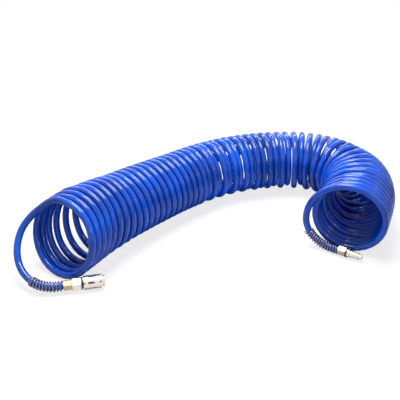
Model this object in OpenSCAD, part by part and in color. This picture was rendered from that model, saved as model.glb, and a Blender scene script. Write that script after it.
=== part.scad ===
// Coiled compressed-air hose with a quick coupler socket on one end and a nipple plug on the other.
// Millimetres, +Z up, floor at z = 0. The wound hose lies on the floor, bent round like a hook.
// The source is in four parts: sizes, curve tools, routes worked out from the sizes, one module per piece.

/* [Hose and coil] */
// Outside diameter of the hose
hose_od = 12; // [11.6:0.1:12]
// Bore of the hose where a barb goes in
hose_id = 8; // [7.9:0.1:8.4]
// Number of turns in the coil
turns = 59; // [57:1:60]
// Mean radius of the turns in the middle of the coil
coil_r = 53; // [52:0.5:54]
// Distance from turn to turn along the middle of the coil
turn_pitch = 14; // [13.9:0.1:14.6]
// How much wider the turn at the socket end is
socket_end_flare = 12; // [10:0.5:13]
// How much wider the turn at the plug end is
plug_end_flare = 8.5; // [7:0.5:9]

/* [Spring guards] */
// Wire diameter of the two guards
guard_wire = 2.4; // [2:0.1:2.6]
// Distance from coil to coil of a guard
guard_pitch = 5; // [4.6:0.1:5.2]
// Coils in the guard at the socket
socket_guard_turns = 10; // [8:1:10]
// Coils in the guard at the plug
plug_guard_turns = 12; // [9:1:12]

/* [Clamp nuts and tailpiece] */
// Width across flats of the clamp nuts
nut_af = 15.5; // [15.2:0.1:16]
// Length of a clamp nut
nut_len = 14; // [13:0.5:14.5]
// Outside diameter of the thread collars inside the clamp nuts
collar_d = 13; // [12.8:0.1:13]
// Width across flats of the tailpiece hexagon
hex_af = 19; // [18:0.5:19]
// Length of the tailpiece hexagon
hex_len = 14.5; // [12:0.5:16]

/* [Quick coupler socket] */
// Diameter of the plug's smooth land, which the socket is bored for
plug_d = 12; // [11.8:0.1:12]
// Wall of the socket body round its bore
body_wall = 2.55; // [2.5:0.05:2.65]
// Outside diameter of the release sleeve
sleeve_od = 23; // [22.8:0.1:24]
// How far the release sleeve slides back
sleeve_travel = 3.2; // [2.8:0.1:3.4]
// How far the valve opens
valve_travel = 3.2; // [2.8:0.1:3.4]
// Diameter of a locking ball
ball_d = 4; // [3.9:0.05:4]
// How far the body's nose stands out in front of the sleeve
nose_len = 4; // [3:0.5:6]

/* [Nipple plug] */
// Outside diameter of the black collar ring
collar_ring_d = 17; // [16.4:0.1:18]
// Thickness of the black collar ring
collar_ring_t = 2.8; // [2.2:0.1:3.2]
// Diameter of the flange in front of the collar ring
flange_d = 15; // [14:0.5:16]
// Bore right through the plug
plug_bore_d = 4.5; // [4:0.1:4.6]

/* [Hidden] */
$fn = 48;

// clearances
running = 0.05;   // radial, between pieces that slide
seated = 0.05;    // along the axis, between pieces that only touch
loose = 0.3;      // between pieces that stay clear of each other
floor_gap = 0.3;  // under the fittings

// the coil: a ring of hose section every eighth of a turn, on the octagon drawn round the true circle,
// so that each turn rests on a flat foot and starts and ends square
rings_per_turn = 8;
hose_sides = 6;
half_step = 180 / rings_per_turn;
hose_r = hose_od / 2;
hose_foot = hose_r * cos(180 / hose_sides) * cos(half_step);
steps = 2 * rings_per_turn;
last_step = steps * turns;
coil_start = [-229, -244];
start_heading = 58.1;
// along the coil from 0 at the socket end to 1 at the plug end:
// degrees of bend per turn, pitch as a factor, and flare as a share of the end's own
bend_at = [[0, 0.35], [0.025, -0.7], [0.05, -1.5], [0.076, -2.3], [0.102, -0.7], [0.136, -1.1],
    [0.24, -0.35], [0.41, -2.4], [0.53, -2.75], [0.59, -4.3], [0.66, -7.2], [0.73, -7.9], [0.8, -6.7],
    [0.865, -3.1], [1, 0.6]];
pitch_at = [[0, 0.92], [0.025, 1], [0.05, 1.05], [0.076, 1.33], [0.102, 1.37], [0.136, 1.2],
    [0.17, 1.05], [0.24, 1.06], [0.41, 1], [0.52, 1.08], [0.61, 1.16], [0.7, 0.99], [0.78, 0.945],
    [1, 0.955]];
socket_flare_at = [[0, 0.95], [0.05, 1], [0.135, 0.37], [0.3, 0]];
plug_flare_at = [[0.75, 0], [0.9, 1]];
// the first turns lean back on their feet, by these degrees
lean_at = [[0, 18], [0.068, 18], [0.15, 0]];
// at the inside of the bend every second turn is pulled in and nests between its neighbours
nest_gap = 0.8;
nest_reach = 110;
nest_rise = 0.7;
nest_depth = 1.3;

// forward, to the left and up from the coil's end to the fitting: in end radii, and 0 to 1 in height
socket_route = [[0.26, 0.5, 0.93], [0.14, 0.76, 0.81], [-0.03, 0.97, 0.68], [-0.25, 1.08, 0.54],
    [-0.48, 1.06, 0.39], [-0.7, 0.91, 0.26], [-0.87, 0.67, 0.15], [-0.97, 0.36, 0.08], [-0.97, 0.01, 0.03]];
plug_route = [[0.02, -0.56, 0.94], [0.04, -0.86, 0.83], [0.06, -1.08, 0.67], [0.07, -1.19, 0.48],
    [0.09, -1.16, 0.29], [0.11, -0.96, 0.12], [0.13, -0.64, 0.02]];
socket_place = [-0.464, -0.686];
socket_heading = 13;
plug_place = [0.26, 0.135];
plug_heading = -33.5;
tail_sides = 8;
tail_steps = 2;
barb_reach = 18;   // how far a barb goes into the hose from its fitting's shoulder
tail_straight = 22;

// ---- curve tools ----
function unit(v) = v / norm(v);
function flat_unit(angle) = [cos(angle), sin(angle), 0];
function ring(centre, u, v, r, sides) =
    [for (k = [0 : sides - 1]) centre + r * (cos(360 * k / sides) * u + sin(360 * k / sides) * v)];
function joined(lists) = [for (a = lists) for (b = a) b];
// a smooth curve through marks that aren't evenly spaced, from p1 to p2
function slope(before, at, after, span) =
    span * ((at - before) / norm(at - before) + (after - at) / norm(after - at)
        - (after - before) / (norm(at - before) + norm(after - at)));
function between(p0, p1, p2, p3, t) =
    let (span = norm(p2 - p1), rise = 3 * t * t - 2 * t * t * t)
    p1 + rise * (p2 - p1) + (t * t * t - 2 * t * t + t) * slope(p0, p1, p2, span)
        + (t * t * t - t * t) * slope(p1, p2, p3, span);
function side_faces(first, rings, sides) =
    [for (i = [0 : rings - 2]) for (k = [0 : sides - 1])
        let (a = first + i * sides + k, b = first + i * sides + (k + 1) % sides)
        for (f = [[a, a + sides, b + sides], [a, b + sides, b]]) f];
function cap_faces(first, sides, far) =
    [for (k = [1 : sides - 2]) far ? [first, first + k + 1, first + k] : [first, first + k, first + k + 1]];
function to_segment(p, a, b) =
    let (t = max(0, min(1, (p - a) * (b - a) / ((b - a) * (b - a))))) norm(p - a - t * (b - a));
function run_lengths(path) =
    [for (i = 0, s = 0; i < len(path); s = s + norm(path[min(i + 1, len(path) - 1)] - path[i]), i = i + 1) s];
function along(path, run, s) =
    [for (axis = [0 : 2]) lookup(s, [for (i = [0 : len(path) - 1]) [run[i], path[i][axis]]])];
// radius to the corners of a wire wound in eighths of a turn, so that its inside clears a given radius
function wound_r(clear_r, wire) = (clear_r + wire / 2 * cos(180 / hose_sides)) / cos(half_step);
function tangent(path, i) =
    let (n = len(path) - 1) unit(path[min(n, i + 1)] - path[max(0, i - 1)]);

// a closed tube through rings that all have the same number of points
module tube(rings) {
    sides = len(rings[0]);
    n = len(rings);
    polyhedron(
        points = joined(rings),
        faces = concat(
            cap_faces(0, sides, false),
            side_faces(0, n, sides),
            cap_faces((n - 1) * sides, sides, true)
        )
    );
}

// the same with a blind bore in its far end: the last two rings given are the bore's bottom and mouth
module bored_tube(rings, bore) {
    sides = len(rings[0]);
    n = len(rings);
    bottom = n * sides;
    rim = (n - 1) * sides;
    mouth = bottom + sides;
    polyhedron(
        points = joined(concat(rings, bore)),
        faces = concat(
            cap_faces(0, sides, false),
            side_faces(0, n, sides),
            [for (k = [0 : sides - 1]) let (m = (k + 1) % sides)
                for (f = [[rim + k, mouth + k, mouth + m], [rim + k, mouth + m, rim + m]]) f],
            [for (f = side_faces(bottom, 2, sides)) [f[0], f[2], f[1]]],
            cap_faces(bottom, sides, true)
        )
    );
}

// ---- the coil's route ----
function share(i) = i / last_step;
function bend(i) = lookup(share(i), bend_at);
function pitch(i) = turn_pitch * lookup(share(i), pitch_at);
heading = [for (i = 0, h = start_heading; i <= last_step + 1; h = h + bend(i + 0.5) / steps, i = i + 1) h];
function step_at(i) = pitch(i + 0.5) / steps * flat_unit((heading[i] + heading[i + 1]) / 2);
axis_at = [for (i = 0, p = [coil_start.x, coil_start.y, 0]; i <= last_step; p = p + step_at(i), i = i + 1) p];
function turn_r(i) = coil_r + socket_end_flare * lookup(share(i), socket_flare_at)
    + plug_end_flare * lookup(share(i), plug_flare_at);
function tightest(i) = pitch(i) + turn_r(i) * bend(i) * PI / 180;
function nest_share(angle) =
    let (off = abs((angle % 360) - 180)) off < nest_reach ? pow(cos(90 * off / nest_reach), nest_rise) : 0;
function nested(i) = floor((i + steps / 4) / steps) % 2 == 1;
function nest(i, angle) = nested(i)
    ? nest_depth * sqrt(max(0, pow(hose_od + nest_gap, 2) - pow(tightest(i), 2))) * nest_share(angle) : 0;
function coil_angle(i) = 90 + 360 * i / steps;
function coil_end(i) = i == 0 || i == last_step;
function lean(i) = lookup(share(i), lean_at);
function coil_up(i) = sin(lean(i)) * flat_unit(heading[i]) + [0, 0, cos(lean(i))];
function coil_centre(i) =
    let (angle = coil_angle(i), r = (turn_r(i) - nest(i, angle)) / (coil_end(i) ? 1 : cos(half_step)))
    axis_at[i] + r * cos(angle) * flat_unit(heading[i] + 90) + r * sin(angle) * coil_up(i)
        + [0, 0, turn_r(i) * cos(lean(i)) + hose_foot];
function coil_out(i) = cos(coil_angle(i)) * flat_unit(heading[i] + 90) + [0, 0, sin(coil_angle(i))];
coil_steps = concat([0], [for (i = [1 : 2 : last_step - 1]) i], [last_step]);
coil_line = [for (i = coil_steps) coil_centre(i)];
coil_rings = [for (k = [0 : len(coil_steps) - 1])
    ring(coil_line[k], flat_unit(heading[coil_steps[k]]), coil_out(coil_steps[k]), hose_r, hose_sides)];

// ---- the fittings' places ----
function from_end(i, place, height) = axis_at[i] + turn_r(i) * place[0] * flat_unit(heading[i])
    + turn_r(i) * place[1] * flat_unit(heading[i] + 90) + [0, 0, height];
socket_height = sleeve_od / 2 + floor_gap;
plug_height = max(collar_ring_d, nut_af / cos(30)) / 2 + floor_gap;
socket_at = from_end(0, socket_place, socket_height);
plug_at = from_end(last_step, plug_place, plug_height);

// ---- the tails' routes, from the coil to their fittings ----
function tail_line(i, side, route, height, fitting, dir, shoulder, seat) =
    let (
        top = coil_centre(i),
        sideways = side * flat_unit(heading[i] + 90),
        marks = concat(
            [top, top + hose_od * sideways],
            [for (p = route) from_end(i, p, height + p[2] * (top.z - height))],
            [fitting - (shoulder + tail_straight) * dir, fitting - (shoulder + seat) * dir]
        ),
        n = len(marks)
    )
    concat(
        [marks[0]],
        [for (k = [1 : n - 3]) for (j = [0 : tail_steps - 1])
            between(marks[k - 1], marks[k], marks[k + 1], marks[k + 2], j / tail_steps)],
        [marks[n - 2], marks[n - 1]]
    );
function tail_rings(line, i, far) =
    [for (k = [0 : len(line) - 1])
        let (t = tangent(line, k), u = unit(cross(flat_unit(heading[i]), t)))
        ring(line[k], u, cross(t, u), hose_r, tail_sides)];
collar_len = 6;
plug_collar_len = 9;
tail_seat = 0.2;
socket_dir = flat_unit(socket_heading);
plug_dir = flat_unit(plug_heading);
socket_line = tail_line(0, 1, socket_route, socket_height, socket_at, socket_dir, collar_len, tail_seat);
plug_line = tail_line(last_step, -1, plug_route, plug_height, plug_at, plug_dir, plug_collar_len, tail_seat);
socket_tail_rings = tail_rings(socket_line, 0);
plug_tail_rings = tail_rings(plug_line, last_step);

module tail(line, rings) {
    n = len(rings);
    k = barb_reach + 1;
    t = tangent(line, n - 1);
    shift = [for (p = rings[n - 1]) line[n - 1] + (p - line[n - 1]) * hose_id / hose_od];
    bored_tube(rings, [[for (p = shift) p - k * t], shift]);
}

// ---- the guards: a helix along a tail, from its fitting's nut back ----
guard_r = wound_r(hose_r + loose, guard_wire);
function guard_rings(line, i, from, coils) =
    let (
        back = [for (k = [len(line) - 1 : -1 : 0]) line[k]],
        run = run_lengths(back)
    )
    [for (k = [0 : coils * rings_per_turn])
        let (
            s = from + guard_wire / 2 + guard_pitch * k / rings_per_turn,
            c = along(back, run, s),
            t = unit(along(back, run, s + 4) - along(back, run, max(0, s - 4))),
            u = unit(cross(flat_unit(heading[i]), t)),
            v = cross(t, u),
            angle = 360 * k / rings_per_turn,
            out = cos(angle) * u + sin(angle) * v
        )
        ring(c + guard_r * out, t, out, guard_wire / 2, hose_sides)];
socket_guard_rings = guard_rings(socket_line, 0,
    nut_len + loose - collar_len - tail_seat, socket_guard_turns);
plug_guard_rings = guard_rings(plug_line, last_step,
    nut_len + collar_ring_t + loose - plug_collar_len - tail_seat, plug_guard_turns);

// everything is shifted so that the origin is the centre of the floor area taken up
guard_outline = concat(socket_guard_rings, plug_guard_rings);
outline = joined(concat(coil_rings, socket_tail_rings, plug_tail_rings, guard_outline));
xs = [for (p = outline) p.x];
ys = [for (p = outline) p.y];
centre_shift = -[(max(xs) + min(xs)) / 2, (max(ys) + min(ys)) / 2, 0];

coil_gap = min([for (k = [0 : len(coil_line) - 1]) for (m = [k + 5 : k + 19])
    if (m < len(coil_line)) to_segment(coil_line[k], coil_line[m - 1], coil_line[m])]) - hose_od;
echo(least_gap_between_turns = coil_gap);
echo(least_gap_between_guard_coils = guard_pitch - guard_wire);
echo(centre_shift = centre_shift, socket_at = socket_at + centre_shift, plug_at = plug_at + centre_shift);

module placed() {
    translate(centre_shift) children();
}

// the wound part of the hose
module hose_coil() {
    color("royalblue") placed() tube(coil_rings);
}

// the free end that swings round to the socket
module socket_tail() {
    color("royalblue") placed() tail(socket_line, socket_tail_rings);
}

// the free end that swings round to the plug
module plug_tail() {
    color("royalblue") placed() tail(plug_line, plug_tail_rings);
}

module socket_spring_guard() {
    color("dimgray") placed() tube(socket_guard_rings);
}

module plug_spring_guard() {
    color("dimgray") placed() tube(plug_guard_rings);
}

// ---- sizes of the socket, worked out along its axis from the tailpiece hexagon's rear face ----
plug_r = plug_d / 2;
ball_r = ball_d / 2;
bore_r = plug_r + running;
body_r = bore_r + body_wall;
ball_count = 6;
between_balls = 360 / ball_count;
groove_depth = 1.25;
ball_play = 0.1;      // over the floor of the plug's groove
sleeve_play = 0.08;   // radial, on the body
sleeve_end_play = 0.2;
stop_overlap = 0.4;
stop_play = 0.15;
ball_c = plug_r - groove_depth + ball_r + ball_play;
ball_slope = groove_depth / sleeve_travel;
land_r = body_r + sleeve_play;
recess_r = ball_c + (ball_r + running) / cos(atan(ball_slope)) + groove_depth;
sleeve_r = sleeve_od / 2;
spring_bore_r = recess_r + loose;
stop_r = recess_r + stop_overlap;
stop_groove_depth = 1.05;
stop_groove_r = body_r - stop_groove_depth;
sleeve_front_r = stop_r + stop_play;
collar_r = collar_d / 2;
barb_r = 3.6;
tail_bore_r = 2.5;

body_flange_t = 1.6;
spigot_len = 6.9;
seal_room = 1.5;
chamber_len = 6;
seat_t = 1;
packing_t = 3;
lip_t = 1;
lip_to_balls = 6.4;
balls_to_stop = 5.5;
stop_t = 1.2;
stop_to_rim = 2.7;
spring_to_balls = 3.4;
flange_end = hex_len + body_flange_t;
spigot_end = hex_len + spigot_len;
step_in = spigot_end + seal_room;
chamber_end = step_in + chamber_len;
packing_start = chamber_end + seat_t;
packing_end = packing_start + packing_t;
lip_end = packing_end + lip_t;
ball_at = lip_end + lip_to_balls;
stop_at = ball_at + balls_to_stop;
sleeve_rear = hex_len + sleeve_travel + sleeve_end_play;
sleeve_front = stop_at + stop_to_rim;
spring_step = ball_at - spring_to_balls;
body_front = sleeve_front + nose_len;
window_len = 10;
window_w = 3.2;
notch_w = 3;
rear_notch = 2.6;
front_notch = 4;

relief_r = bore_r + loose;
relief_end = ball_at + ball_r + 0.2;
body_spigot_bore_r = 7.5;
spigot_r = body_spigot_bore_r - 0.1;
spring_cup_r = 5.8;
spring_cup_depth = spigot_len - 1.5;
spring_cup_at = spigot_end - spring_cup_depth;
chamber_r = 6.2;
seat_r = 4.6;
packing_r = 6.4;
lip_r = 5;
spring_wire = 1;
sleeve_spring_coils = 4;
valve_spring_coils = 5;
valve_spring_clear_r = 3.6;
valve_r = 5.5;
valve_t = 1.4;
valve_seal_t = 1.6;
valve_stem_r = 3;
valve_stem_wall = 1.1;
stem_reach = 1.6;
stem_slot_w = 1.6;
stem_slot_depth = 2.4;
fin_t = 1.2;
valve_end = chamber_end - valve_seal_t;
valve_start = valve_end - valve_t;
stem_end = valve_end + valve_travel + stem_reach;

module at_socket() {
    translate(centre_shift + socket_at) rotate([0, 0, socket_heading]) rotate([0, 90, 0]) children();
}

module at_plug() {
    translate(centre_shift + plug_at) rotate([0, 0, plug_heading]) rotate([0, 90, 0]) children();
}

module bore(r, from, to) {
    translate([0, 0, from]) cylinder(r = r, h = to - from);
}

// a hexagonal bar with its corners turned off at both ends
module hexagon(af, from, to) {
    corner = af / 2 / cos(30);
    intersection() {
        translate([0, 0, from]) cylinder(r = corner, h = to - from, $fn = 6);
        rotate_extrude() polygon([
            [0, from],
            [af / 2, from],
            [corner, from + 1],
            [corner, to - 1],
            [af / 2, to],
            [0, to]
        ]);
    }
}

// a barb that holds the hose, pointing back along the axis from its shoulder
module barb(shoulder, bore_radius) {
    teeth = 4;
    tooth = (barb_reach - collar_len) / teeth;
    difference() {
        translate([0, 0, shoulder - teeth * tooth])
            for (k = [0 : teeth - 1])
                translate([0, 0, k * tooth]) cylinder(r1 = barb_r - 0.35, r2 = barb_r, h = tooth);
        bore(bore_radius, shoulder - teeth * tooth - 1, shoulder + 1);
    }
}

// six-sided clamp nut with its rear edge turned down, its front face at `front`
module clamp_nut(front, collar) {
    difference() {
        hexagon(nut_af, front - nut_len, front);
        bore(collar_r + 0.1, front - collar - 0.3, front + 1);
        bore(hose_r + 0.2, front - nut_len - 1, front);
    }
}

// brass nut that clamps the hose on the tailpiece
module socket_clamp_nut() {
    color("goldenrod") at_socket() clamp_nut(-seated, collar_len);
}

// plated hexagon with a barb behind and a screwed spigot in front
module socket_tailpiece() {
    color("silver") at_socket() difference() {
        union() {
            hexagon(hex_af, 0, hex_len);
            translate([0, 0, -collar_len]) cylinder(r = collar_r, h = collar_len + 1);
            translate([0, 0, hex_len - 1]) cylinder(r = spigot_r, h = spigot_end - hex_len + 1);
            barb(-collar_len + 0.01, tail_bore_r);
        }
        bore(tail_bore_r, -collar_len - 1, hex_len + 2);
        bore(spring_cup_r, spring_cup_at, spigot_end + 1);
    }
}

// O-ring pinched between the tailpiece's spigot and the step in the body
module tailpiece_seal() {
    color("black") at_socket() translate([0, 0, (spigot_end + step_in) / 2])
        rotate_extrude() translate([body_spigot_bore_r - 0.9, 0]) circle(r = 0.73, $fn = 12);
}

// the body: flange, ball cage, packing groove and bore
module socket_body() {
    color("silver") at_socket() difference() {
        rotate_extrude() polygon([
            [body_spigot_bore_r, hex_len + seated],
            [recess_r, hex_len + seated],
            [recess_r, flange_end],
            [body_r, flange_end],
            [body_r, stop_at],
            [stop_groove_r, stop_at],
            [stop_groove_r, stop_at + stop_t + seated],
            [body_r, stop_at + stop_t + seated],
            [body_r, body_front - 0.8],
            [body_r - 0.8, body_front],
            [bore_r + 0.5, body_front],
            [bore_r, body_front - 0.5],
            [bore_r, relief_end],
            [relief_r, relief_end],
            [relief_r, lip_end],
            [lip_r, lip_end],
            [lip_r, packing_end],
            [packing_r, packing_end],
            [packing_r, packing_start],
            [seat_r, packing_start],
            [seat_r, chamber_end],
            [chamber_r, chamber_end],
            [chamber_r, step_in],
            [body_spigot_bore_r, step_in]
        ]);
        for (k = [0 : ball_count - 1])
            rotate([0, 0, between_balls * (k + 0.5)]) translate([bore_r - 1, 0, ball_at]) rotate([0, 90, 0])
                cylinder(r = ball_r + running, h = body_wall + 2, $fn = 24);
    }
}

// a slot right through the sleeve's wall
module sleeve_slot(width, from, to) {
    translate([land_r, -width / 2, from]) cube([sleeve_r - land_r + 1, width, to - from]);
}

// the sleeve that is drawn back to let the plug go, with windows and notched rims
module release_sleeve() {
    cone_start = ball_at - (recess_r - groove_depth - land_r) / ball_slope;
    color("silver") at_socket() difference() {
        rotate_extrude() polygon([
            [spring_bore_r, sleeve_rear],
            [sleeve_r - 0.4, sleeve_rear],
            [sleeve_r, sleeve_rear + 0.4],
            [sleeve_r, sleeve_front - 0.4],
            [sleeve_r - 0.4, sleeve_front],
            [sleeve_front_r, sleeve_front],
            [sleeve_front_r, stop_at - seated],
            [recess_r, stop_at - seated],
            [recess_r, ball_at + sleeve_travel],
            [land_r, cone_start],
            [land_r, spring_step],
            [spring_bore_r, spring_step]
        ]);
        for (k = [0 : ball_count - 1]) rotate([0, 0, between_balls * k]) {
            sleeve_slot(window_w, spring_step - 1 - window_len, spring_step - 1);
            sleeve_slot(notch_w, sleeve_rear - 1, sleeve_rear + rear_notch);
            sleeve_slot(notch_w, sleeve_front - front_notch, sleeve_front + 1);
        }
    }
}

// spring of round wire along the axis, between two faces and clear of a given radius inside it
module coil_spring(clear_r, wire, from, to, coils) {
    n = coils * rings_per_turn;
    corner_r = wound_r(clear_r, wire);
    rise = to - from - wire;
    tube([for (k = [0 : n])
        let (angle = 360 * k / rings_per_turn, out = [cos(angle), sin(angle), 0])
        ring([0, 0, from + wire / 2 + rise * k / n] + corner_r * out, [0, 0, 1], out, wire / 2, hose_sides)]);
}

module sleeve_spring() {
    from = flange_end + seated;
    to = spring_step - seated;
    color("gray") at_socket() coil_spring(body_r + 0.1, spring_wire, from, to, sleeve_spring_coils);
}

// snap ring in the body's groove, which stops the sleeve
module sleeve_stop_ring() {
    color("dimgray") at_socket() translate([0, 0, stop_at + seated / 2]) difference() {
        cylinder(r = stop_r, h = stop_t);
        translate([0, 0, -1]) cylinder(r = stop_groove_r + running, h = stop_t + 2);
    }
}

module locking_ball(k) {
    color("white") at_socket() rotate([0, 0, between_balls * (k - 0.5)]) translate([ball_c, 0, ball_at])
        sphere(r = ball_r, $fn = 16);
}

module locking_ball_1() { locking_ball(1); }
module locking_ball_2() { locking_ball(2); }
module locking_ball_3() { locking_ball(3); }
module locking_ball_4() { locking_ball(4); }
module locking_ball_5() { locking_ball(5); }
module locking_ball_6() { locking_ball(6); }

// soft ring that seals on the plug's tip, with a lip
module plug_packing_seal() {
    color("black") at_socket() rotate_extrude() polygon([
        [plug_nose_r + 0.1, packing_start + seated],
        [packing_r - running, packing_start + seated],
        [packing_r - running, packing_end - seated],
        [packing_r - 0.9, packing_end - seated],
        [plug_nose_r + 1, packing_end - 1.2],
        [plug_nose_r + 0.4, packing_end - seated],
        [plug_nose_r + 0.1, packing_end - 0.6]
    ]);
}

// two flat bars across each other on the valve's axis
module cross_bars(thickness, from, to) {
    for (turn = [0, 90]) rotate([0, 0, turn])
        translate([-valve_r, -thickness / 2, from]) cube([2 * valve_r, thickness, to - from]);
}

// valve: disc, hollow slotted stem in front and four fins behind that run in the tailpiece
module valve_poppet() {
    color("silver") at_socket() {
        difference() {
            union() {
                bore(valve_r, valve_start, valve_end);
                bore(valve_stem_r, valve_end - 0.5, stem_end);
            }
            bore(valve_stem_r - valve_stem_wall, valve_end, stem_end + 1);
            cross_bars(stem_slot_w, stem_end - stem_slot_depth, stem_end + 1);
        }
        intersection() {
            bore(tail_bore_r - running, hex_len - 2, valve_start + 0.01);
            cross_bars(fin_t, hex_len - 3, valve_start + 1);
        }
    }
}

// the valve's own sealing ring
module valve_seal() {
    color("black") at_socket() difference() {
        bore(valve_r - 0.1, valve_end + seated, chamber_end - seated);
        bore(valve_stem_r + running, valve_start, chamber_end + 1);
    }
}

module valve_spring() {
    from = spring_cup_at + seated;
    to = valve_start - seated;
    color("gray") at_socket() coil_spring(valve_spring_clear_r, spring_wire, from, to, valve_spring_coils);
}

// ---- the plug, along its axis from the flange's rear face ----
land_at = 3;
groove_len = 5;
// the land is as long as lets the balls find the groove while the flange stays clear of the nose
land_len = body_front + loose - ball_at - groove_len / 2;
head_len = 3;
nose_at = land_at + land_len + groove_len + head_len;
nose_tip = nose_at + 5.5;
plug_nose_r = 3.9;

module plug_clamp_nut() {
    color("goldenrod") at_plug() clamp_nut(-collar_ring_t - seated, plug_collar_len - collar_ring_t);
}

module plug_collar_ring() {
    color("black") at_plug() difference() {
        bore(collar_ring_d / 2, -collar_ring_t, -seated);
        bore(collar_r + 0.1, -collar_ring_t - 1, 1);
    }
}

// the nipple: barb, thread collar, flange, land, groove for the balls, head and nose
module plug_nipple() {
    color("silver") at_plug() difference() {
        union() {
            rotate_extrude() polygon([
                [0, -plug_collar_len],
                [collar_r, -plug_collar_len],
                [collar_r, 0],
                [flange_d / 2, 0],
                [flange_d / 2, land_at - 0.5],
                [flange_d / 2 - 0.5, land_at],
                [plug_r, land_at],
                [plug_r, land_at + land_len],
                [plug_r - groove_depth, land_at + land_len + groove_depth],
                [plug_r - groove_depth, land_at + land_len + groove_len - groove_depth / 2],
                [plug_r, land_at + land_len + groove_len],
                [plug_r, nose_at - 0.5],
                [plug_nose_r, nose_at + 0.5],
                [plug_nose_r, nose_tip - 0.6],
                [plug_nose_r - 0.6, nose_tip],
                [0, nose_tip]
            ]);
            barb(-plug_collar_len + 0.01, plug_bore_d / 2);
        }
        bore(plug_bore_d / 2, -plug_collar_len - 1, nose_tip + 1);
    }
}

hose_coil();
socket_tail();
plug_tail();
socket_spring_guard();
socket_clamp_nut();
socket_tailpiece();
tailpiece_seal();
socket_body();
release_sleeve();
sleeve_spring();
sleeve_stop_ring();
locking_ball_1();
locking_ball_2();
locking_ball_3();
locking_ball_4();
locking_ball_5();
locking_ball_6();
plug_packing_seal();
valve_poppet();
valve_seal();
valve_spring();
plug_spring_guard();
plug_clamp_nut();
plug_collar_ring();
plug_nipple();
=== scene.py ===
import math

import bmesh
import bpy
from bpy.props import FloatProperty, FloatVectorProperty, IntProperty, PointerProperty
from bpy.types import Operator, Panel, PropertyGroup
from mathutils import Matrix, Vector


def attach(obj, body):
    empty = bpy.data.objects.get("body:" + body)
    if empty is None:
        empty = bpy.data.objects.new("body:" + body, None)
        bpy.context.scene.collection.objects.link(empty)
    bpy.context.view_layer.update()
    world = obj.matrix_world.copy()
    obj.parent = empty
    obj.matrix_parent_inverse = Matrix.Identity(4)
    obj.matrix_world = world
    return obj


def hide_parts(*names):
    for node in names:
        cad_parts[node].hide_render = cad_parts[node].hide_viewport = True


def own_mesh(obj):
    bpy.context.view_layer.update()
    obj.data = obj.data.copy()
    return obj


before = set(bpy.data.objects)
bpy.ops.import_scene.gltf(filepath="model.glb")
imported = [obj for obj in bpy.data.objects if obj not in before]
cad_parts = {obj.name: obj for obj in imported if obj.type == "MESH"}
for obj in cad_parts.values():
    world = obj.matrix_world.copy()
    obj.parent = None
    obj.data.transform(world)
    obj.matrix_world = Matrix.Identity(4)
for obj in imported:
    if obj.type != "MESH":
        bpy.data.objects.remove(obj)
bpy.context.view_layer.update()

bl_info = {
    "name": "Coiled Air Hose",
    "version": (1, 0, 0),
    "blender": (4, 5, 0),
    "location": "View3D > Sidebar > Air Hose",
    "description": "Dresses the solids of a coiled compressed-air hose, its coupler and its plug",
    "category": "Object",
}

MM = 0.001

# ---- the hose's route, in millimetres and degrees, as the solids have it ----
HOSE_R = 6.0
HOSE_D = 2 * HOSE_R
COIL_R = 53.0
TURN_PITCH = 14.0
TURNS = 59
POINTS_PER_TURN = 32
LAST = TURNS * POINTS_PER_TURN
# where round its axis a turn starts and ends: at its top
TOP_ANGLE = 90
COIL_START = (-229.0, -244.0)
START_HEADING = 58.1
# from the route's own origin to the frame's, which is on the floor under the middle of the part
FRAME_SHIFT = Vector((-26.606, 91.9716, 0.0))
SOCKET_END_FLARE = 12.0
PLUG_END_FLARE = 8.5
# along the coil from 0 to 1: degrees of bend per turn, pitch as a factor, flare as a share
BEND_AT = ((0, 0.35), (0.025, -0.7), (0.05, -1.5), (0.076, -2.3), (0.102, -0.7), (0.136, -1.1),
           (0.24, -0.35), (0.41, -2.4), (0.53, -2.75), (0.59, -4.3), (0.66, -7.2), (0.73, -7.9),
           (0.8, -6.7), (0.865, -3.1), (1, 0.6))
PITCH_AT = ((0, 0.92), (0.025, 1), (0.05, 1.05), (0.076, 1.33), (0.102, 1.37), (0.136, 1.2),
            (0.17, 1.05), (0.24, 1.06), (0.41, 1), (0.52, 1.08), (0.61, 1.16), (0.7, 0.99),
            (0.78, 0.945), (1, 0.955))
SOCKET_FLARE_AT = ((0, 0.95), (0.05, 1), (0.135, 0.37), (0.3, 0))
PLUG_FLARE_AT = ((0.75, 0), (0.9, 1))
# the first turns lean back on their feet, by these degrees
LEAN_AT = ((0, 18), (0.068, 18), (0.15, 0))
# every second turn is pulled in at the inside of the bend
NEST_GAP = 0.8
NEST_REACH = 110.0
NEST_RISE = 0.7
NEST_DEPTH = 1.3

# forward, to the left and up from the coil's end to the fitting: in end radii, and 0 to 1 in height
SOCKET_ROUTE = ((0.26, 0.5, 0.93), (0.14, 0.76, 0.81), (-0.03, 0.97, 0.68), (-0.25, 1.08, 0.54),
                (-0.48, 1.06, 0.39), (-0.7, 0.91, 0.26), (-0.87, 0.67, 0.15), (-0.97, 0.36, 0.08),
                (-0.97, 0.01, 0.03))
PLUG_ROUTE = ((0.02, -0.56, 0.94), (0.04, -0.86, 0.83), (0.06, -1.08, 0.67), (0.07, -1.19, 0.48),
              (0.09, -1.16, 0.29), (0.11, -0.96, 0.12), (0.13, -0.64, 0.02))
# the fittings lie this far forward and to the left of the coil's ends, in end radii
SOCKET_PLACE = (-0.464, -0.686)
PLUG_PLACE = (0.26, 0.135)
SOCKET_HEADING = 13.0
PLUG_HEADING = -33.5
SOCKET_HEIGHT = 11.8
PLUG_HEIGHT = 9.249
SOCKET_SHOULDER = 6.0
PLUG_SHOULDER = 9.0
TAIL_STRAIGHT = 22.0
TAIL_SEAT = 0.2
POINTS_PER_SPAN = 6

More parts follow.
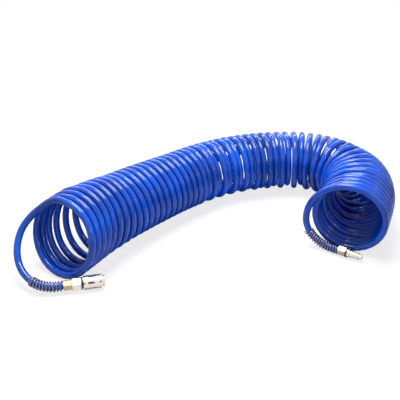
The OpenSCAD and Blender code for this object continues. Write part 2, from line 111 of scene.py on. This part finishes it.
# ---- guards and inner springs, in millimetres ----
NUT_LENGTH = 14.0
COLLAR_RING_THICKNESS = 2.8
GUARD_GAP = 0.3
GUARD_START_AT_SOCKET = NUT_LENGTH + GUARD_GAP - SOCKET_SHOULDER - TAIL_SEAT
GUARD_START_AT_PLUG = NUT_LENGTH + COLLAR_RING_THICKNESS + GUARD_GAP - PLUG_SHOULDER - TAIL_SEAT
GUARD_WIRE = 2.4
GUARD_PITCH = 5.0
GUARD_R = 7.5
SOCKET_GUARD_TURNS = 10
PLUG_GUARD_TURNS = 12
# the wire's last points stand off the hose, each by this much more than the one before
GUARD_END_POINTS = 3
GUARD_END_LIFT = 0.9
# the hose's direction at a point is taken over this length to both sides
DIRECTION_REACH = 4.0
SPRING_WIRE = 1.0
POINTS_PER_COIL = 24
# how finely the section of a wire is divided
GUARD_ROUNDNESS = 4
SPRING_ROUNDNESS = 2
# out from the coupler's axis to the wire's middle, both ends along the axis, and coils
SLEEVE_SPRING = {"r": 9.3, "start": 16.15, "end": 36.85, "coils": 4}
VALVE_SPRING = {"r": 4.3, "start": 16.05, "end": 25.85, "coils": 5}
# the share of its length that is left of a pressed spring
SLEEVE_SPRING_KEEP = 0.84
VALVE_SPRING_KEEP = 0.67

# ---- the coupler, along its axis from the hexagon's rear face and out from it, in millimetres ----
# the tailpiece lies inside from here on, the body up to its nose, and the sleeve within this radius; their
# faces there get a dark finish as painted shade
SPIGOT_FROM = 15.0
NOSE_FROM = 45.5
SLEEVE_INSIDE_R = 10.6
BALLS = 6

# ---- machined edges: a distance in metres, and angles between faces ----
MERGE_DISTANCE = 2e-6
FLAT_ANGLE = math.radians(0.5)
SHARP_ANGLE = math.radians(30)
ROUNDING_SEGMENTS = 2

# ---- finishes that have no setting ----
# a dark colour painted as shade on the coupler's inside faces
PAINTED_SHADE_DARK = (0.02, 0.019, 0.018)
SPRING_STEEL = (0.55, 0.56, 0.58)
BALL_STEEL = (0.78, 0.78, 0.80)
RING_BLACK = (0.016, 0.016, 0.02)
RUBBER_BLACK = (0.03, 0.03, 0.03)
# the noise between these values makes the full change of a roughness, and of a colour
ROUGHNESS_NOISE = (0.3, 0.7)
COLOUR_NOISE = (0.35, 0.65)
# how much darker the patches of a worn plating are
BRASS_WEAR = 0.85
NICKEL_WEAR = 0.93

# ---- the stage, in metres and watts; the lens in millimetres ----
CAMERA_LENS = 55.0
CAMERA_SENSOR = 36.0
CAMERA_LOOKS_DOWN = math.radians(30.2)
CAMERA_AWAY = 1.25
WHITE = (1.0, 1.0, 1.0, 1.0)
FLOOR_REACH = 6.0
FLOOR_DROP = 0.0002
FLOOR_LIT_COLOUR = (0.7, 0.7, 0.75, 1.0)
FLOOR_SEEN_COLOUR = (0.97, 0.97, 1.0, 1.0)
# as it is seen, the floor has this share of plain white near the middle, and all of it further out
FLOOR_WHITE_SHARE = 0.78
FLOOR_WHITE_FROM = 0.35
FLOOR_WHITE_TO = 0.6
SKY_COLOUR = (0.93, 0.95, 1.0, 1.0)
SKY_STRENGTH = 0.06
# name, place, what it is aimed at, its sides and its power
LAMPS = (
    ("top_box", (-0.1, 0.15, 1.3), (0, 0.05, 0), (0.7, 0.7), 29.0),
    ("back_box", (-0.1, 1.3, 0.9), (0, 0.1, 0.1), (2.0, 0.25), 14.0),
    ("front_box", (0.9, -1.3, 1.1), (0, 0, 0.05), (0.25, 0.25), 3.0),
)


# ---- the hose's route ----
def flat(heading):
    """The level direction with this heading."""
    return Vector((math.cos(math.radians(heading)), math.sin(math.radians(heading)), 0.0))


def lookup(at, table):
    """The table's value at a place, straight between its entries and constant past its ends."""
    if at <= table[0][0]:
        return table[0][1]
    for (x0, y0), (x1, y1) in zip(table, table[1:]):
        if at <= x1:
            return y0 + (y1 - y0) * (at - x0) / (x1 - x0)
    return table[-1][1]


def share(i):
    """How far along the coil a point is, from 0 to 1."""
    return i / LAST


def coil_headings():
    headings = [START_HEADING]
    for i in range(LAST + 1):
        headings.append(headings[-1] + lookup(share(i + 0.5), BEND_AT) / POINTS_PER_TURN)
    return headings


HEADINGS = coil_headings()


def coil_axis():
    """The foot of the coil's axis under each point of the hose."""
    points = [Vector((*COIL_START, 0.0))]
    for i in range(LAST):
        step = TURN_PITCH * lookup(share(i + 0.5), PITCH_AT) / POINTS_PER_TURN
        points.append(points[-1] + step * flat((HEADINGS[i] + HEADINGS[i + 1]) / 2))
    return points


AXIS = coil_axis()


def turn_r(i):
    return (COIL_R + SOCKET_END_FLARE * lookup(share(i), SOCKET_FLARE_AT)
            + PLUG_END_FLARE * lookup(share(i), PLUG_FLARE_AT))


def turn_angle(i):
    """The angle round the coil's axis, counted on from the top of the first turn."""
    return TOP_ANGLE + 360 * i / POINTS_PER_TURN


def inner_pitch(i):
    """The distance between turns at the inside of the bend."""
    return TURN_PITCH * lookup(share(i), PITCH_AT) + turn_r(i) * math.radians(lookup(share(i), BEND_AT))


def nest(i):
    """How far the turn is pulled in at this point."""
    if math.floor(turn_angle(i) / 360) % 2 != 1:
        return 0.0
    off = abs(turn_angle(i) % 360 - 180)
    if off >= NEST_REACH:
        return 0.0
    need = max(0.0, (HOSE_D + NEST_GAP) ** 2 - inner_pitch(i) ** 2)
    return NEST_DEPTH * math.sqrt(need) * math.cos(math.radians(90 * off / NEST_REACH)) ** NEST_RISE


def coil_centre(i):
    """The middle of the hose at a point of the coil."""
    angle = math.radians(turn_angle(i))
    lean = math.radians(lookup(share(i), LEAN_AT))
    up = math.sin(lean) * flat(HEADINGS[i]) + Vector((0, 0, math.cos(lean)))
    across = flat(HEADINGS[i] + 90)
    middle = Vector((0, 0, turn_r(i) * math.cos(lean) + HOSE_R))
    return AXIS[i] + middle + (turn_r(i) - nest(i)) * (math.cos(angle) * across + math.sin(angle) * up)


def from_end(i, place, height):
    """A place by the coil's end, given forward and to the left in the end's radii, and a height."""
    return (AXIS[i] + turn_r(i) * place[0] * flat(HEADINGS[i])
            + turn_r(i) * place[1] * flat(HEADINGS[i] + 90) + Vector((0, 0, height)))


SOCKET_AT = from_end(0, SOCKET_PLACE, SOCKET_HEIGHT)
PLUG_AT = from_end(LAST, PLUG_PLACE, PLUG_HEIGHT)


def slope(before, at, after, span):
    """The curve's slope at a mark between two others, for a span of this length."""
    return span * ((at - before) / (at - before).length + (after - at) / (after - at).length
                   - (after - before) / ((at - before).length + (after - at).length))


def between(p0, p1, p2, p3, t):
    """A smooth curve through marks that aren't evenly spaced, from p1 to p2."""
    span = (p2 - p1).length
    return (p1 + (3 * t * t - 2 * t ** 3) * (p2 - p1)
            + (t ** 3 - 2 * t * t + t) * slope(p0, p1, p2, span)
            + (t ** 3 - t * t) * slope(p1, p2, p3, span))


def tail_line(i, side, route, height, fitting, heading, shoulder):
    """The tail's points from the coil's end to the fitting."""
    top = coil_centre(i)
    way = flat(heading)
    marks = [top, top + side * HOSE_D * flat(HEADINGS[i] + 90)]
    marks += [from_end(i, mark, height + mark[2] * (top.z - height)) for mark in route]
    marks += [fitting - (shoulder + TAIL_STRAIGHT) * way, fitting - (shoulder + TAIL_SEAT) * way]
    line = [marks[0]]
    for k in range(1, len(marks) - 2):
        line += [between(*marks[k - 1:k + 3], j / POINTS_PER_SPAN) for j in range(POINTS_PER_SPAN)]
    return line + marks[-2:]


SOCKET_LINE = tail_line(0, 1, SOCKET_ROUTE, SOCKET_HEIGHT, SOCKET_AT, SOCKET_HEADING, SOCKET_SHOULDER)
PLUG_LINE = tail_line(LAST, -1, PLUG_ROUTE, PLUG_HEIGHT, PLUG_AT, PLUG_HEADING, PLUG_SHOULDER)


def in_frame(points):
    """The points in the frame, in metres."""
    return [(point + FRAME_SHIFT) * MM for point in points]


def fitting_place(origin, heading):
    """From a fitting's own axis, which is local Z, to the frame, in metres."""
    lying = Matrix.Rotation(math.radians(90), 4, "Y")
    turned = Matrix.Rotation(math.radians(heading), 4, "Z")
    return Matrix.Translation((origin + FRAME_SHIFT) * MM) @ turned @ lying


AT_SOCKET = fitting_place(SOCKET_AT, SOCKET_HEADING)


# ---- settings ----
class AirHoseSettings(PropertyGroup):
    hose_colour: FloatVectorProperty(
        name="Hose", description="Colour of the hose", subtype="COLOR", size=3, min=0, max=1,
        default=(0.001, 0.094, 0.66))
    hose_shade: FloatVectorProperty(
        name="Hose shade", description="Colour of the hose where it is deepest", subtype="COLOR", size=3,
        min=0, max=1, default=(0.001, 0.046, 0.36))
    guard_colour: FloatVectorProperty(
        name="Guards", description="Colour of the spring guards' steel", subtype="COLOR", size=3,
        min=0, max=1, default=(0.22, 0.22, 0.28))
    brass_colour: FloatVectorProperty(
        name="Brass", description="Colour of the clamp nuts", subtype="COLOR", size=3, min=0, max=1,
        default=(0.52, 0.39, 0.25))
    nickel_colour: FloatVectorProperty(
        name="Nickel", description="Colour of the plated fittings", subtype="COLOR", size=3, min=0, max=1,
        default=(0.80, 0.75, 0.66))
    hose_roundness: IntProperty(
        name="Roundness", description="How finely the hose's section is divided", default=8, min=2, max=12)
    edge_rounding: FloatProperty(
        name="Edge rounding", description="Rounding of the fittings' machined edges", unit="LENGTH",
        default=0.00022, min=0.00005, max=0.0006)


def settings(context):
    return context.scene.air_hose


# ---- materials ----
def node(tree, kind, values=None, **options):
    """A new shader node with these options, and these values on its inputs."""
    made = tree.nodes.new("ShaderNode" + kind)
    for key, value in options.items():
        setattr(made, key, value)
    for key, value in (values or {}).items():
        made.inputs[key].default_value = value
    return made


def material(name, values):
    """A material with these values on its shader, with its node tree and that shader."""
    made = bpy.data.materials.new(name)
    made.use_nodes = True
    shader = made.node_tree.nodes["Principled BSDF"]
    for key, value in values.items():
        shader.inputs[key].default_value = value
    return made, made.node_tree, shader


def pattern(tree, scale, detail=2.0, turned=(0, 0, 0), stretch=(1, 1, 1)):
    """Noise on the object's own coordinates, turned and stretched if asked."""
    where = node(tree, "TexCoord")
    mapping = node(tree, "Mapping", {"Rotation": turned}, vector_type="TEXTURE")
    squeeze = node(tree, "VectorMath", {1: stretch}, operation="MULTIPLY")
    noise = node(tree, "TexNoise", {"Scale": scale, "Detail": detail})
    tree.links.new(where.outputs["Object"], mapping.inputs["Vector"])
    tree.links.new(mapping.outputs["Vector"], squeeze.inputs[0])
    tree.links.new(squeeze.outputs["Vector"], noise.inputs["Vector"])
    return noise.outputs["Fac"]


def spread(tree, value, low, high, between_values=ROUGHNESS_NOISE):
    """A value spread between two numbers."""
    least, most = between_values
    made = node(tree, "MapRange", {"From Min": least, "From Max": most, "To Min": low, "To Max": high})
    tree.links.new(value, made.inputs["Value"])
    return made.outputs["Result"]


def two_tone(tree, value, dark, light):
    """A colour that goes from dark to light with the noise."""
    ramp = node(tree, "ValToRGB")
    for element, place, colour in zip(ramp.color_ramp.elements, COLOUR_NOISE, (dark, light)):
        element.position = place
        element.color = (*colour, 1.0)
    tree.links.new(value, ramp.inputs["Fac"])
    return ramp.outputs["Color"]


def bump(tree, shader, value, strength, distance):
    made = node(tree, "Bump", {"Strength": strength, "Distance": distance})
    tree.links.new(value, made.inputs["Height"])
    tree.links.new(made.outputs["Normal"], shader.inputs["Normal"])


def scaled(colour, factor):
    return tuple(min(1.0, part * factor) for part in colour)


def hose_material(name, shade, colour):
    """Smooth plastic, a little cloudy in colour and in gloss."""
    made, tree, shader = material(name, {"IOR": 1.42})
    clouds = pattern(tree, scale=14.0, detail=3.0)
    tree.links.new(two_tone(tree, clouds, shade, colour), shader.inputs["Base Color"])
    gloss = spread(tree, pattern(tree, scale=90.0), low=0.07, high=0.12)
    tree.links.new(gloss, shader.inputs["Roughness"])
    bump(tree, shader, pattern(tree, scale=260.0), strength=0.05, distance=0.0003)
    return made


def metal_material(name, colour, rough, heading, wear):
    """Turned metal: fine rings round the fitting's axis over a faint unevenness."""
    made, tree, shader = material(name, {"Metallic": 1.0})
    turned = (0.0, 0.0, math.radians(heading))
    rings = pattern(tree, scale=900.0, turned=turned, stretch=(1.0, 0.04, 0.04))
    patches = pattern(tree, scale=160.0, detail=3.0)
    tree.links.new(two_tone(tree, patches, scaled(colour, wear), colour), shader.inputs["Base Color"])
    tree.links.new(spread(tree, rings, rough * 0.75, rough * 1.3), shader.inputs["Roughness"])
    bump(tree, shader, rings, strength=0.12, distance=0.0001)
    return made


def wire_material(name, colour, rough):
    """Bare steel with faint patches, for wires, balls and rings."""
    made, tree, shader = material(name, {"Metallic": 1.0})
    patches = pattern(tree, scale=220.0, detail=3.0)
    tree.links.new(two_tone(tree, patches, scaled(colour, 0.7), colour), shader.inputs["Base Color"])
    tree.links.new(spread(tree, patches, rough * 0.8, rough * 1.3), shader.inputs["Roughness"])
    bump(tree, shader, pattern(tree, scale=1500.0), strength=0.1, distance=0.0001)
    return made


def dull_material(name, colour, rough, grain):
    """A dark finish with a fine grain: painted shade on the coupler's inside faces, the black ring and
    black rubber.
    """
    made, tree, shader = material(name, {"IOR": 1.5})
    patches = pattern(tree, scale=grain, detail=3.0)
    tone = two_tone(tree, patches, scaled(colour, 0.75), scaled(colour, 1.2))
    tree.links.new(tone, shader.inputs["Base Color"])
    tree.links.new(spread(tree, patches, rough * 0.85, rough * 1.15), shader.inputs["Roughness"])
    bump(tree, shader, pattern(tree, scale=grain * 4), strength=0.15, distance=0.0001)
    return made


def make_finish(name, full_name, config):
    """Make the named finish, each with its colour, its roughness and what else its maker needs."""
    brass = config.brass_colour
    nickel = config.nickel_colour
    maker, *values = {
        "hose_blue": (hose_material, config.hose_shade, config.hose_colour),
        "guard_steel": (wire_material, config.guard_colour, 0.24),
        "brass_socket": (metal_material, brass, 0.22, SOCKET_HEADING, BRASS_WEAR),
        "brass_plug": (metal_material, brass, 0.34, PLUG_HEADING, BRASS_WEAR),
        "nickel_socket": (metal_material, nickel, 0.34, SOCKET_HEADING, NICKEL_WEAR),
        "nickel_plug": (metal_material, nickel, 0.30, PLUG_HEADING, NICKEL_WEAR),
        # painted shade on the coupler's inside faces
        "oiled_steel": (dull_material, PAINTED_SHADE_DARK, 0.4, 250.0),
        "spring_steel": (wire_material, SPRING_STEEL, 0.25),
        "ball_steel": (wire_material, BALL_STEEL, 0.12),
        "black_ring": (dull_material, RING_BLACK, 0.32, 200.0),
        "black_rubber": (dull_material, RUBBER_BLACK, 0.6, 300.0),
    }[name]
    return maker(full_name, *values)


def finish(name, context):
    """The named finish, made when it is first asked for. The solids' own materials have other names."""
    full_name = "finish_" + name
    return bpy.data.materials.get(full_name) or make_finish(name, full_name, settings(context))


# ---- making pieces ----
def linked(name, data):
    """A new object in the scene that holds this data."""
    made = bpy.data.objects.new(name, data)
    bpy.context.scene.collection.objects.link(made)
    return made


def wire_curve(name, points, radius, roundness, finish_material):
    """A round wire or hose along points in the frame, as one open spline with closed ends."""
    data = bpy.data.curves.new(name, "CURVE")
    data.dimensions = "3D"
    data.bevel_depth = radius
    data.bevel_resolution = roundness
    data.use_fill_caps = True
    line = data.splines.new("POLY")
    line.points.add(len(points) - 1)
    for point, place in zip(line.points, points):
        point.co = (*place, 1.0)
    line.use_smooth = True
    data.materials.append(finish_material)
    return linked(name, data)


def wire_mesh(name, points, radius, roundness, finish_material):
    """The same wire as a mesh."""
    drawn = wire_curve(name, points, radius, roundness, finish_material)
    curve = drawn.data
    mesh = bpy.data.meshes.new_from_object(drawn)
    bpy.data.objects.remove(drawn)
    bpy.data.curves.remove(curve)
    return linked(name, mesh)


def mesh_object(name, shape, finish_material):
    data = bpy.data.meshes.new(name)
    shape.to_mesh(data)
    shape.free()
    data.materials.append(finish_material)
    return linked(name, data)


def paint_shade_inside(piece, place, inside, finish_material):
    """Paint shade on the faces that lie inside, with a dark finish, by their places along and out from an
    axis.
    """
    piece.data.materials.append(finish_material)
    to_axis = place.inverted()
    for face in piece.data.polygons:
        at = to_axis @ face.center
        if inside(at.z / MM, math.hypot(at.x, at.y) / MM):
            face.material_index = 1


def machined(node_name, name, finish_material, rounding, body):
    """A piece with a solid's own shape, its edges broken as on the real turned or milled part."""
    shape = bmesh.new()
    shape.from_mesh(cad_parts[node_name].data)
    bmesh.ops.remove_doubles(shape, verts=shape.verts, dist=MERGE_DISTANCE)
    bmesh.ops.dissolve_limit(shape, angle_limit=FLAT_ANGLE, verts=shape.verts, edges=shape.edges)
    for face in shape.faces:
        face.smooth = True
    for edge in shape.edges:
        edge.smooth = edge.calc_face_angle(0.0) < SHARP_ANGLE
    made = mesh_object(name, shape, finish_material)
    edges = made.modifiers.new("edges", "BEVEL")
    edges.width = rounding
    edges.segments = ROUNDING_SEGMENTS
    edges.limit_method = "ANGLE"
    edges.angle_limit = SHARP_ANGLE
    edges.harden_normals = True
    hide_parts(node_name)
    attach(made, body)
    return made


def run_along(points):
    """The distance of each point from the first, along them."""
    run = [0.0]
    for a, b in zip(points, points[1:]):
        run.append(run[-1] + (b - a).length)
    return run


def point_at(points, run, s):
    """The point at a distance along a line, or its last point past its end."""
    for k in range(1, len(points)):
        if s <= run[k]:
            return points[k - 1].lerp(points[k], (s - run[k - 1]) / (run[k] - run[k - 1]))
    return points[-1]


def guard_points(line, i, start, coils):
    """A helix round a tail, from its nut back, with a closed coil and a wire end that stands off."""
    back = line[::-1]
    run = run_along(back)
    points = []
    open_count = coils * POINTS_PER_COIL
    last = open_count + POINTS_PER_COIL
    for k in range(last + 1):
        closed = max(0, k - open_count)
        s = start + GUARD_WIRE / 2 + (GUARD_PITCH * (k - closed) + GUARD_WIRE * closed) / POINTS_PER_COIL
        r = GUARD_R + GUARD_END_LIFT * max(0, k - last + GUARD_END_POINTS)
        ahead = point_at(back, run, s + DIRECTION_REACH)
        behind = point_at(back, run, max(0.0, s - DIRECTION_REACH))
        way = (ahead - behind).normalized()
        u = flat(HEADINGS[i]).cross(way).normalized()
        v = way.cross(u)
        angle = 2 * math.pi * k / POINTS_PER_COIL
        points.append(point_at(back, run, s) + r * (math.cos(angle) * u + math.sin(angle) * v))
    return points


def spring_points(place, r, start, end, coils):
    """A spring along a fitting's axis, between two faces."""
    points = []
    count = coils * POINTS_PER_COIL
    for k in range(count + 1):
        angle = 2 * math.pi * k / POINTS_PER_COIL
        along = start + SPRING_WIRE / 2 + (end - start - SPRING_WIRE) * k / count
        points.append(place @ Vector((r * math.cos(angle) * MM, r * math.sin(angle) * MM, along * MM)))
    return points


# ---- the pieces ----
class AIRHOSE_OT_hose(Operator):
    """Make the hose: its tail at the coupler, the coil and its tail at the plug"""
    bl_idname = "air_hose.hose"
    bl_label = "Hose"

    def execute(self, context):
        coil = [coil_centre(i) for i in range(LAST + 1)]
        points = in_frame(SOCKET_LINE[::-1] + coil[1:-1] + PLUG_LINE)
        roundness = settings(context).hose_roundness
        hose = wire_curve("air_hose", points, HOSE_R * MM, roundness, finish("hose_blue", context))
        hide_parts("hose_coil", "socket_tail", "plug_tail")
        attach(hose, "hose")
        return {"FINISHED"}


class AIRHOSE_OT_guards(Operator):
    """Make the two spring guards"""
    bl_idname = "air_hose.guards"
    bl_label = "Spring guards"

    def execute(self, context):
        steel = finish("guard_steel", context)
        at_socket = guard_points(SOCKET_LINE, 0, GUARD_START_AT_SOCKET, SOCKET_GUARD_TURNS)
        at_plug = guard_points(PLUG_LINE, LAST, GUARD_START_AT_PLUG, PLUG_GUARD_TURNS)
        for name, node_name, points in (
            ("socket_guard", "socket_spring_guard", at_socket),
            ("plug_guard", "plug_spring_guard", at_plug),
        ):
            guard = wire_curve(name, in_frame(points), GUARD_WIRE / 2 * MM, GUARD_ROUNDNESS, steel)
            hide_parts(node_name)
            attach(guard, "hose")
        return {"FINISHED"}


class AIRHOSE_OT_nuts(Operator):
    """Make the two brass clamp nuts"""
    bl_idname = "air_hose.nuts"
    bl_label = "Clamp nuts"

    def execute(self, context):
        rounding = settings(context).edge_rounding
        for node_name, name, metal in (
            ("socket_clamp_nut", "socket_nut", "brass_socket"),
            ("plug_clamp_nut", "plug_nut", "brass_plug"),
        ):
            nut = machined(node_name, name, finish(metal, context), rounding, "hose")
        return {"FINISHED"}


class AIRHOSE_OT_coupler(Operator):
    """Make the coupler's plated pieces: tailpiece, body and release sleeve, with painted shade on their
    inside faces
    """
    bl_idname = "air_hose.coupler"
    bl_label = "Coupler"

    def execute(self, context):
        rounding = settings(context).edge_rounding
        for node_name, name, body, inside in (
            ("socket_tailpiece", "coupler_tailpiece", "hose", lambda along, r: along > SPIGOT_FROM),
            ("socket_body", "coupler_body", "hose", lambda along, r: along < NOSE_FROM),
            ("release_sleeve", "coupler_sleeve", "sleeve", lambda along, r: r < SLEEVE_INSIDE_R),
        ):
            piece = machined(node_name, name, finish("nickel_socket", context), rounding, body)
            # the faces inside get a dark finish: painted shade
            paint_shade_inside(piece, AT_SOCKET, inside, finish("oiled_steel", context))
        return {"FINISHED"}


class AIRHOSE_OT_springs(Operator):
    """Make the sleeve's spring and the valve's spring"""
    bl_idname = "air_hose.springs"
    bl_label = "Inner springs"

    def execute(self, context):
        steel = finish("spring_steel", context)
        for name, node_name, joint, sizes, keep in (
            ("sleeve_return_spring", "sleeve_spring", "sleeve_slide", SLEEVE_SPRING, SLEEVE_SPRING_KEEP),
            ("valve_return_spring", "valve_spring", "valve_slide", VALVE_SPRING, VALVE_SPRING_KEEP),
        ):
            points = spring_points(AT_SOCKET, **sizes)
            spring = wire_mesh(name, points, SPRING_WIRE / 2 * MM, SPRING_ROUNDNESS, steel)
            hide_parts(node_name)
            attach(spring, "hose")
            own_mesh(spring)
        return {"FINISHED"}


class AIRHOSE_OT_plug(Operator):
    """Make the plug's nipple and its black ring"""
    bl_idname = "air_hose.plug"
    bl_label = "Plug"

    def execute(self, context):
        rounding = settings(context).edge_rounding
        for node_name, name, metal, slot in (
            ("plug_nipple", "plug_fitting", "nickel_plug", "nickel"),
            ("plug_collar_ring", "plug_ring", "black_ring", "black_ring"),
        ):
            piece = machined(node_name, name, finish(metal, context), rounding, "hose")
        return {"FINISHED"}


class AIRHOSE_OT_inner(Operator):
    """Give the coupler's small inner pieces their finishes"""
    bl_idname = "air_hose.inner"
    bl_label = "Inner pieces"

    def execute(self, context):
        finishes = {
            "tailpiece_seal": "black_rubber",
            "plug_packing_seal": "black_rubber",
            "valve_seal": "black_rubber",
            "sleeve_stop_ring": "spring_steel",
            "valve_poppet": "brass_socket",
        }
        for k in range(BALLS):
            finishes["locking_ball_%d" % (k + 1)] = "ball_steel"
        for node_name, name in finishes.items():
            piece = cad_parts[node_name]
            piece.data.materials.clear()
            piece.data.materials.append(finish(name, context))
        return {"FINISHED"}


# ---- the stage ----
def make_camera(context):
    data = bpy.data.cameras.new("camera")
    data.lens = CAMERA_LENS
    data.sensor_width = CAMERA_SENSOR
    camera = linked("camera", data)
    back = Vector((0, -math.cos(CAMERA_LOOKS_DOWN), math.sin(CAMERA_LOOKS_DOWN)))
    camera.location = FRAME_SHIFT * MM + CAMERA_AWAY * back
    camera.rotation_euler = (math.radians(90) - CAMERA_LOOKS_DOWN, 0, 0)
    context.scene.camera = camera


def floor_material():
    """Almost white as it is seen, with the hose's shadow, and pale grey in the light it throws back."""
    made, tree, shader = material("pale_floor", {"Roughness": 0.9, "Specular IOR Level": 0.1})
    where = node(tree, "TexCoord")
    away = node(tree, "VectorMath", operation="LENGTH")
    path = node(tree, "LightPath")
    colour = node(tree, "Mix", {"A": FLOOR_LIT_COLOUR, "B": FLOOR_SEEN_COLOUR}, data_type="RGBA")
    white = node(tree, "Emission", {"Color": WHITE})
    white_share = node(tree, "Math", operation="MULTIPLY")
    blend = node(tree, "MixShader")
    tree.links.new(path.outputs["Is Camera Ray"], colour.inputs["Factor"])
    tree.links.new(colour.outputs["Result"], shader.inputs["Base Color"])
    tree.links.new(where.outputs["Object"], away.inputs[0])
    fade = spread(tree, away.outputs["Value"], FLOOR_WHITE_SHARE, 1.0, (FLOOR_WHITE_FROM, FLOOR_WHITE_TO))
    tree.links.new(path.outputs["Is Camera Ray"], white_share.inputs[0])
    tree.links.new(fade, white_share.inputs[1])
    tree.links.new(white_share.outputs["Value"], blend.inputs["Fac"])
    tree.links.new(shader.outputs["BSDF"], blend.inputs[1])
    tree.links.new(white.outputs["Emission"], blend.inputs[2])
    tree.links.new(blend.outputs["Shader"], tree.nodes["Material Output"].inputs["Surface"])
    return made


def make_floor():
    shape = bmesh.new()
    bmesh.ops.create_grid(shape, x_segments=1, y_segments=1, size=FLOOR_REACH)
    bmesh.ops.translate(shape, verts=shape.verts, vec=(0, 0, -FLOOR_DROP))
    mesh_object("floor", shape, floor_material())


def make_sky(context):
    """A faint even light that the camera and what is glossy see as white."""
    world = bpy.data.worlds.new("studio")
    context.scene.world = world
    world.use_nodes = True
    tree = world.node_tree
    light = tree.nodes["Background"]
    light.inputs["Color"].default_value = SKY_COLOUR
    light.inputs["Strength"].default_value = SKY_STRENGTH
    white = node(tree, "Background", {"Color": WHITE})
    path = node(tree, "LightPath")
    seen = node(tree, "Math", operation="MAXIMUM")
    blend = node(tree, "MixShader")
    tree.links.new(path.outputs["Is Camera Ray"], seen.inputs[0])
    tree.links.new(path.outputs["Is Glossy Ray"], seen.inputs[1])
    tree.links.new(seen.outputs["Value"], blend.inputs["Fac"])
    tree.links.new(light.outputs["Background"], blend.inputs[1])
    tree.links.new(white.outputs["Background"], blend.inputs[2])
    tree.links.new(blend.outputs["Shader"], tree.nodes["World Output"].inputs["Surface"])


def make_lamp(name, place, aim, sides, power):
    data = bpy.data.lights.new(name, "AREA")
    data.shape = "RECTANGLE"
    data.size, data.size_y = sides
    data.energy = power
    lamp = linked(name, data)
    lamp.location = place
    lamp.rotation_euler = (Vector(aim) - Vector(place)).to_track_quat("-Z", "Y").to_euler()


class AIRHOSE_OT_stage(Operator):
    """Make the floor, the soft studio light and the camera"""
    bl_idname = "air_hose.stage"
    bl_label = "Stage"

    def execute(self, context):
        make_camera(context)
        make_floor()
        make_sky(context)
        for lamp in LAMPS:
            make_lamp(*lamp)
        context.scene.view_settings.view_transform = "Standard"
        return {"FINISHED"}


# ---- the panel and the run ----
class AIRHOSE_PT_panel(Panel):
    """The pieces of the coiled air hose"""
    bl_idname = "AIRHOSE_PT_panel"
    bl_label = "Air Hose"
    bl_space_type = "VIEW_3D"
    bl_region_type = "UI"
    bl_category = "Air Hose"

    def draw(self, context):
        for key in AirHoseSettings.__annotations__:
            self.layout.prop(settings(context), key)
        for step in STEPS:
            self.layout.operator(step.bl_idname)


STEPS = (
    AIRHOSE_OT_stage,
    AIRHOSE_OT_nuts,
    AIRHOSE_OT_guards,
    AIRHOSE_OT_plug,
    AIRHOSE_OT_hose,
    AIRHOSE_OT_coupler,
    AIRHOSE_OT_springs,
    AIRHOSE_OT_inner,
)
CLASSES = (AirHoseSettings, *STEPS, AIRHOSE_PT_panel)


def register():
    for each in CLASSES:
        bpy.utils.register_class(each)
    bpy.types.Scene.air_hose = PointerProperty(type=AirHoseSettings)


def unregister():
    del bpy.types.Scene.air_hose
    for each in reversed(CLASSES):
        bpy.utils.unregister_class(each)


def main():
    register()
    bpy.ops.air_hose.stage()
    bpy.ops.air_hose.nuts()
    bpy.ops.air_hose.guards()
    bpy.ops.air_hose.plug()
    bpy.ops.air_hose.hose()
    bpy.ops.air_hose.coupler()
    bpy.ops.air_hose.springs()
    bpy.ops.air_hose.inner()


if __name__ == "__main__":
    main()
